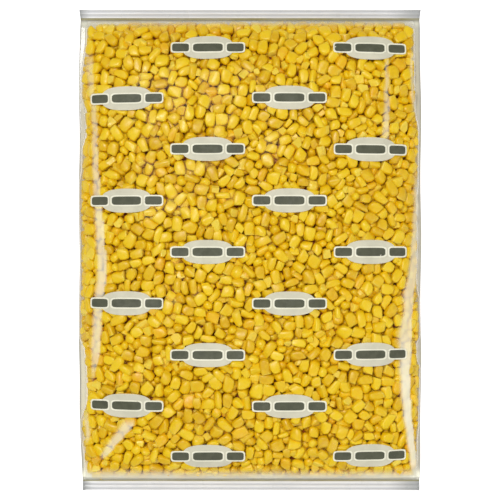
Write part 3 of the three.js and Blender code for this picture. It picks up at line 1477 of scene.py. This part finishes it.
    def store_haze_and_sheen(self, mesh: bpy.types.Mesh) -> None:
        """Makes the film cloudy in its empty lips and in a dull line at each seal's mouth, paints
        highlights on it beside the seals and along the folds, and paints shade on the lower
        sheet's inner side.

        Args:
            mesh: The film's mesh, which gets its cloudy and highlighted share, how bright that
                cloud is painted and the painted inner shade.
        """
        x, y, z = points_of(mesh).T
        edge, width = self.form.edge_distance(x, y), self.form.lip(x, y)
        end = self.form.mouth - np.abs(y)
        rise = z - self.form.crease(y)
        above, top = rise > -0.2 * MM, y > 0
        flat = 1 - smoothstep(np.abs(rise), *self.flat_rise)
        lip = 1 - smoothstep(edge, width - self.lip_blur[0], width + self.lip_blur[1])
        lip = self.lip_haze * flat * lip
        # Painted highlight: a pale band beside each seal, patchy along X.
        patchy = 0.5 + 0.5 * np.sin(x / (23 * MM) + 1.0) * np.sin(x / (9 * MM))
        strength = np.where(top, *self.band_sheen) + np.where(top, *self.band_patches) * patchy
        reach = np.where(above, np.where(top, *self.band_stop), self.band_stop_below)
        band = strength * (1 - smoothstep(end, self.band_start, reach))
        line = smoothstep(end, np.where(top, *self.line_start), np.where(top, *self.line_stop))
        line = self.line_haze * (1 - line)
        # Painted highlight along each fold, standing for the lamps' reflection in it.
        streak = np.max([fold.profile(self.form, x, y) for fold in self.folds], axis=0)
        streak *= self.streak_sheen * above
        # Cloudy share: the lips' cloudiness, a dull line at each seal's mouth, and painted highlight in the
        # band beside the seals and along the folds.
        haze_and_sheen = 1 - (1 - lip) * (1 - np.maximum(band, line)) * (1 - streak)
        add_values(mesh, "haze_and_sheen", np.clip(haze_and_sheen, 0, self.most_haze))
        # Painted light: the lips are brighter on the left than on the right, and on the left more at the
        # bottom end; they are darker right at the edge.
        bright = np.where(x < 0, np.where(top, *self.left_gleam), self.right_gleam)
        bright = bright * smoothstep(edge, *self.gleam_edge) + self.streak_gleam * streak
        bright = (bright + np.where(top, *self.band_gleam) * band) * (1 - line)
        add_values(mesh, "gleam", np.clip(bright, 0, 1))
        # Painted shade on the lower sheet's inner side, near the edges and the ends.
        beside = 1 - smoothstep(edge - width, *self.inner_shade_beside)
        before = 1 - smoothstep(end, *self.inner_shade_before)
        add_values(mesh, "inner_shade", self.inner_shade * ~above * np.maximum(beside, before))

    def report_poking(self) -> None:
        """Reports how many kernel points lie outside the film."""
        x, y, z = self.grain.T
        out = np.maximum(z - self.height(x, y, 1), self.height(x, y, -1) - z)
        LOG.info("kernel points outside the film: %d, worst %.2f mm", (out > 0).sum(), out.max() / MM)


# ---------------------------------------------------------------- seals and seam


@dataclass
class EndSeal:
    """A crimped heat seal across one end: two layers of film pressed into ribs along X."""

    form: BagForm
    name: str
    end: int
    material: bpy.types.Material
    columns: int = 110
    rows: int = 30
    rib_height: float = 0.15 * MM
    phase: float = 1.1
    thickness: float = 0.35 * MM
    overlap: float = 0.2 * MM
    sway: float = 0.1 * MM
    border: float = 0.17
    border_blur: tuple[float, float] = (0.05, 0.03)
    end_shade: float = 0.72
    end_reach: tuple[float, float] = (9 * MM, 28 * MM)

    def build(self) -> bpy.types.Object:
        """Makes the ribbed strip.

        Returns:
            The piece.
        """
        bm = bmesh.new()
        verts, across, along = add_grid(bm, self.columns, self.rows)
        depth = (along + 1) / 2 * (SEAL_DEPTH + self.overlap) - self.overlap
        into = np.clip(depth / SEAL_DEPTH, 0, 1)
        left, right = self.side(self.form.left, into), self.side(self.form.right, into)
        x = left + (across + 1) / 2 * (right - left)
        sway = self.sway * into * np.sin(x / (31 * MM) + self.end) * np.sin(x / (13 * MM))
        middle = self.form.crease(self.end * self.form.mouth)
        put(verts, x, self.end * (self.form.mouth + depth), middle - self.rib_height * self.ribs(into) + sway)
        thicken(bm, self.thickness)
        piece = object_from(self.name, bm)
        self.store_shades(piece.data)
        wear(piece, self.material)
        return piece

    def side(self, edge: Callable[[float], float], into: np.ndarray) -> np.ndarray:
        """X of one side of the seal, which runs straight from the corn to the outer edge."""
        start, stop = edge(self.end * self.form.mouth), edge(self.end * self.form.high.y)
        return start + (stop - start) * into

    def ribs(self, into: np.ndarray) -> np.ndarray:
        """The ribs' rise and fall, from -1 to 1, at shares of the seal's depth."""
        return np.sin(2 * math.pi * SEAL_RIBS * into + self.phase)

    def store_shades(self, mesh: bpy.types.Mesh) -> None:
        """Stores the painted shade in the ribs' valleys, and where the strip is beside the corn or near one
        of its ends.

        Args:
            mesh: The seal's mesh, which gets the painted valley shade and the border and end values.
        """
        x, y = points_of(mesh).T[:2]
        depth = (self.end * y - self.form.mouth) / SEAL_DEPTH
        # Painted shade in the valleys between the ribs.
        add_values(mesh, "valley_shade", 0.5 + 0.5 * self.ribs(depth))
        start, stop = self.border - self.border_blur[0], self.border + self.border_blur[1]
        add_values(mesh, "border", 1 - smoothstep(depth, start, stop))
        near = 1 - smoothstep(self.form.edge_distance(x, y), 0.0, np.where(x < 0, *self.end_reach))
        add_values(mesh, "end", self.end_shade * near)


@dataclass
class BackSeam:
    """The flat lap seal that runs along the middle of the underside."""

    film: Film
    material: bpy.types.Material
    width: float = 12 * MM
    thickness: float = 0.15 * MM
    film_gap: float = 0.05 * MM
    end_gap: float = 1.0 * MM
    columns: int = 6
    rows: int = 160

    def build(self) -> bpy.types.Object:
        """Makes the strip just outside the lower sheet.

        Returns:
            The piece.
        """
        bm = bmesh.new()
        verts, across, along = add_grid(bm, self.columns, self.rows)
        x, y = across * self.width / 2, along * (self.film.form.mouth - self.end_gap)
        put(verts, x, y, self.film.height(x, y, -1) - self.film_gap)
        thicken(bm, self.thickness)
        piece = object_from("back_seam", bm)
        wear(piece, self.material)
        return piece


# ---------------------------------------------------------------- print


@dataclass(frozen=True)
class Patch:
    """A rounded patch of ink.

    Its power is that of a superellipse: 2 is an ellipse, and higher is squarer. Its lift is
    its distance outside the film.
    """

    width: float
    height: float
    power: float
    lift: float


@dataclass
class PrintMarks:
    """Plain repeated marks on the film: a pale rounded lozenge crossed by dark dashes."""

    film: Film
    pale: bpy.types.Material
    outlining: bpy.types.Material
    dark: bpy.types.Material
    row_pitch: float = 39.6 * MM
    column_pitch: float = 125.8 * MM
    first_row: float = -1.5 * MM
    first_column: float = -32.6 * MM
    lozenge: Patch = Patch(40 * MM, 18.5 * MM, 2.6, 0.22 * MM)
    dashes: tuple[float, ...] = (13 * MM, 23 * MM, 13 * MM)
    dash_height: float = 6.4 * MM
    dash_gap: float = 3.2 * MM
    dash_power: float = 6.0
    dash_lift: float = 0.40 * MM
    outline: float = 1.1 * MM
    outline_lift: float = 0.30 * MM
    steps: float = 1.4 * MM

    def build(self) -> None:
        """Makes one piece of each ink."""
        pale, outlining, dark = bmesh.new(), bmesh.new(), bmesh.new()
        for side in (1, -1):
            for x, y in self.places(side):
                self.add_patch(pale, x, y, self.lozenge, side)
                self.add_dashes(outlining, x, y, self.outline, self.outline_lift, side)
                self.add_dashes(dark, x, y, 0.0, self.dash_lift, side)
        wear(object_from("pale_print", pale), self.pale)
        wear(object_from("outline_print", outlining), self.outlining)
        wear(object_from("dark_print", dark), self.dark)

    def places(self, side: int) -> list[tuple[float, float]]:
        """Spaces the marks out in rows that are staggered by half a column.

        Args:
            side: 1 for the upper sheet and -1 for the lower one.

        Returns:
            The middle of each mark that fits on the bag.
        """
        form = self.film.form
        found = []
        for row in range(-4, 5):
            y = self.first_row + row * self.row_pitch
            shift = 0 if row % 2 == 0 else self.column_pitch / 2
            for column in range(-2, 3):
                x = side * (self.first_column + shift + column * self.column_pitch)
                if form.edge_distance(x, y) > self.lozenge.width / 2:
                    found.append((x, y))
        return found

    def add_dashes(
        self, bm: bmesh.types.BMesh, x: float, y: float, grow: float, lift: float, side: int
    ) -> None:
        """Adds one mark's row of dashes.

        Args:
            bm: The ink so far.
            x: Middle of the mark.
            y: Middle of the mark.
            grow: How far each dash is grown all round.
            lift: The dashes' distance outside the film.
            side: 1 for the upper sheet and -1 for the lower one.
        """
        start = x - (sum(self.dashes) + self.dash_gap * (len(self.dashes) - 1)) / 2
        for length in self.dashes:
            patch = Patch(length + 2 * grow, self.dash_height + 2 * grow, self.dash_power, lift)
            self.add_patch(bm, start + length / 2, y, patch, side)
            start += length + self.dash_gap

    def add_patch(self, bm: bmesh.types.BMesh, x: float, y: float, patch: Patch, side: int) -> None:
        """Adds one patch of ink that follows the film.

        Args:
            bm: The ink so far.
            x: Middle of the patch.
            y: Middle of the patch.
            patch: Its size and shape.
            side: 1 for the upper sheet and -1 for the lower one.
        """
        columns, rows = round(patch.width / self.steps), max(3, round(patch.height / self.steps))
        verts, u, v = add_grid(bm, columns, rows)
        square = np.maximum(np.abs(u), np.abs(v))
        reach = (np.abs(u) ** patch.power + np.abs(v) ** patch.power) ** (1 / patch.power)
        rounding = np.where(reach > 0, square / np.maximum(reach, 1e-9), 1.0)
        px, py = x + u * rounding * patch.width / 2, y + v * rounding * patch.height / 2
        put(verts, px, py, self.film.height(px, py, side) + side * patch.lift)
        if side < 0:
            turn_over(bm, verts)


# ---------------------------------------------------------------- stage


@dataclass(frozen=True)
class Softbox:
    """A rectangular lamp that points at the middle of the bag."""

    name: str
    place: tuple[float, float, float]
    size: tuple[float, float]
    power: float

    def build(self) -> None:
        """Makes the lamp."""
        lamp = bpy.data.lights.new(self.name, "AREA")
        lamp.shape = "RECTANGLE"
        lamp.size, lamp.size_y = self.size
        lamp.energy = self.power
        piece = link(self.name, lamp)
        piece.location = self.place
        piece.rotation_euler = (-Vector(self.place)).to_track_quat("-Z", "Y").to_euler()


@dataclass
class Studio:
    """Plain pale floor, soft lamps and a camera that looks straight down on the bag."""

    floor_material: bpy.types.Material
    view_width: float = 394.6 * MM
    lens: float = 120.0
    sensor: float = 36.0
    focus_height: float = 15 * MM
    softboxes: tuple[Softbox, ...] = (
        Softbox("left_strip", (-1.2, 0.1, 0.9), (0.35, 1.8), 0.6),
        Softbox("right_strip", (1.2, -0.1, 0.9), (0.35, 1.8), 3.2),
        Softbox("far_softbox", (-1.35, 1.6, 5.4), (2.0, 1.7), 176.0),
        Softbox("near_softbox", (0.6, -2.4, 2.4), (2.2, 1.3), 22.0),
    )
    sky: float = 0.33
    floor_reach: float = 3.0
    floor_squares: int = 8
    farthest: float = 20.0

    def build(self) -> None:
        """Makes the floor, the lamps, the surrounding light and the camera."""
        self.make_floor()
        for softbox in self.softboxes:
            softbox.build()
        self.make_sky()
        self.make_camera()
        bpy.context.scene.view_settings.view_transform = "Standard"

    def make_floor(self) -> None:
        """Makes the floor, which isn't part of the bag."""
        bm = bmesh.new()
        verts, across, along = add_grid(bm, self.floor_squares, self.floor_squares)
        put(verts, across * self.floor_reach, along * self.floor_reach, np.zeros_like(across))
        floor = object_from("floor", bm, smooth=False)
        floor.data.materials.append(self.floor_material)

    def make_sky(self) -> None:
        """Surrounds the bag with even white light."""
        world = bpy.data.worlds.new("studio")
        world.use_nodes = True
        background = world.node_tree.nodes["Background"]
        background.inputs["Color"].default_value = (1.0, 1.0, 1.0, 1.0)
        background.inputs["Strength"].default_value = self.sky
        bpy.context.scene.world = world

    def make_camera(self) -> None:
        """Hangs the camera over the middle of the bag, with the top seal at the top."""
        data = bpy.data.cameras.new("camera")
        data.lens = self.lens
        data.sensor_width = self.sensor
        data.clip_end = self.farthest
        camera = link("camera", data)
        camera.location.z = self.focus_height + self.view_width * self.lens / self.sensor
        bpy.context.scene.camera = camera


def write_sizes() -> None:
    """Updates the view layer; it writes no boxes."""
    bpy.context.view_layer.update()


def main() -> None:
    """Builds the bag piece by piece and reports each one."""
    logging.basicConfig(level=logging.INFO, format="%(name)s %(message)s")
    effects = SharedEffects()
    form = BagForm()
    moulds = [KernelMould(kind, seed=40 + number) for number, kind in enumerate(KernelKind)]
    heap = CornHeap(form, moulds)
    LOG.info("%d kernels settled", len(heap.centre))
    kernels = Kernels(heap, CornFinish().build(effects)).build()
    # Painted shade: the core's dark orange stands for the shaded kernels deeper in the heap.
    shade = PlainFinish("corn_shade", screen(188, 98, 0), screen(142, 60, 0), 160.0, 1.0, relief=0.8 * MM)
    Core(form, shade.build(effects)).build()
    film = Film(form, kernels, FilmFinish().build(effects))
    film.build()
    film.report_poking()
    seal = SealFinish().build(effects)
    EndSeal(form, "top_seal", 1, seal).build()
    EndSeal(form, "bottom_seal", -1, seal, border=0.1).build()
    BackSeam(film, seal).build()
    pale = PlainFinish("pale_ink", screen(222, 218, 194), screen(208, 205, 182), 90.0, 0.7, alpha=0.94)
    outline = PlainFinish("outline_ink", screen(244, 241, 218), screen(232, 229, 204), 90.0, 0.7)
    dark = PlainFinish("dark_ink", screen(84, 86, 66), screen(70, 72, 54), 200.0, 0.7)
    PrintMarks(film, pale.build(effects), outline.build(effects), dark.build(effects)).build()
    Studio(FloorFinish().build()).build()
    write_sizes()


if __name__ == "__main__":
    main()
